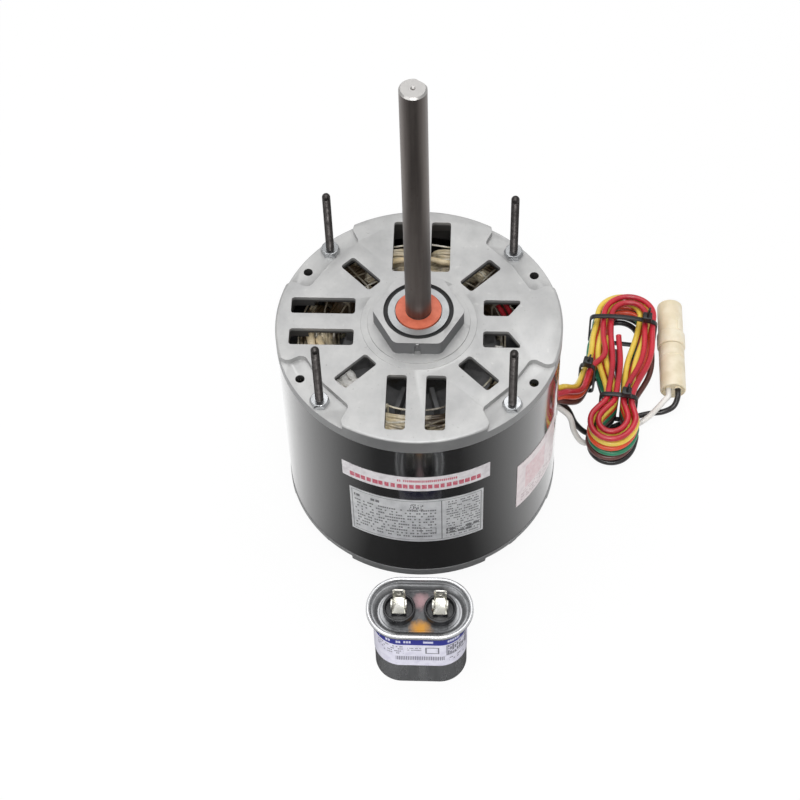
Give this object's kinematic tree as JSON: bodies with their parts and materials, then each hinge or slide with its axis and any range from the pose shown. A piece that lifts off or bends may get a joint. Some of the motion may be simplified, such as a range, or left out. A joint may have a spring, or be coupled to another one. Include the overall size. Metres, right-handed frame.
{
  "type": "condenser fan motor",
  "caption": "Round vented fan motor with a long shaft, corner bolts, a tied hank of colour-coded leads, a round two-part lead connector and a separate oval run capacitor.",
  "frame": {"origin": "centre of the lower hub face, on the level that the motor, its hank and its capacitor stand on", "axes": "+Z along the shaft axis, from the lower hub towards the shaft's free end; +X towards the side that the leads leave"},
  "size_m": [0.2176, 0.243, 0.3058],
  "materials": {
    "black_paint": "gloss",
    "cast_aluminium": "satin",
    "electrical_steel": "matt",
    "liner_film": "satin",
    "copper_winding": "varnished",
    "lacing_cord": "matt",
    "dark_plastic": "satin",
    "dark_steel": "satin",
    "bright_steel": "bright",
    "rubber": "matt",
    "felt": "matt",
    "bronze": "satin",
    "orange_plastic": "satin",
    "white_label": "satin",
    "silver_label": "satin",
    "pink_label": "satin",
    "black_lead": "gloss",
    "brown_lead": "gloss",
    "red_lead": "gloss",
    "orange_lead": "gloss",
    "green_lead": "gloss",
    "yellow_lead": "gloss",
    "white_lead": "gloss",
    "black_nylon": "satin",
    "natural_nylon": "satin",
    "brass_contact": "bright",
    "can_aluminium": "satin",
    "cup_plastic": "gloss",
    "tinned_brass": "bright",
    "can_label": "satin",
    "wound_film": "satin"
  },
  "bodies": {
    "motor": {"shell": "black_paint", "top_end_shield": "cast_aluminium", "bottom_end_shield": "cast_aluminium", "stator_core": "electrical_steel", "slot_liners": "liner_film", "main_winding": "copper_winding", "start_winding": "copper_winding", "winding_lacing": "lacing_cord", "thermal_protector": "dark_plastic", "through_bolts": "dark_steel", "stud_nuts": "bright_steel", "top_rubber_ring": "rubber", "bottom_rubber_ring": "rubber", "top_bearing_cup": "bright_steel", "bottom_bearing_cup": "bright_steel", "top_felt_wick": "felt", "bottom_felt_wick": "felt", "top_sleeve_bearing": "bronze", "bottom_sleeve_bearing": "bronze", "top_bearing_spring": "dark_steel", "bottom_bearing_spring": "dark_steel", "bore_plug": "dark_plastic", "strip_label": "white_label", "rating_plate": "silver_label", "side_label": "pink_label", "lead_grommet": "rubber", "lead_black": "black_lead", "lead_brown": "brown_lead", "lead_red": "red_lead", "lead_orange": "orange_lead", "lead_green": "green_lead", "lead_yellow": "yellow_lead", "hank_black": "black_lead", "hank_brown": "brown_lead", "hank_red": "red_lead", "hank_orange": "orange_lead", "hank_green": "green_lead", "hank_yellow": "yellow_lead", "plug_lead_white": "white_lead", "plug_lead_black": "black_lead", "hank_tie": "black_nylon", "loop_tie": "black_nylon", "lead_tie": "black_nylon", "plug_housing": "natural_nylon", "plug_sockets": "brass_contact", "capacitor_can": "can_aluminium", "capacitor_lid": "can_aluminium", "capacitor_cups": "cup_plastic", "capacitor_terminals": "tinned_brass", "capacitor_label": "can_label", "capacitor_element": "wound_film"},
    "rotor": {"shaft": "dark_steel", "rotor_core": "electrical_steel", "rotor_cage": "cast_aluminium", "shaft_slinger": "orange_plastic", "thrust_washers": "bronze", "retaining_rings": "dark_steel"},
    "plug_cap": {"cap_housing": "natural_nylon", "cap_pins": "brass_contact"}
  },
  "joints": [
    {"name": "rotor_spin", "type": "hinge", "parent": "motor", "child": "rotor", "pos_m": [0, 0, 0.0749], "axis": [0, 0, 1], "continuous": true},
    {"name": "connector_unplug", "type": "slide", "parent": "motor", "child": "plug_cap", "axis": [0, 1, 0], "range_m": [0, 0.018]}
  ]
}
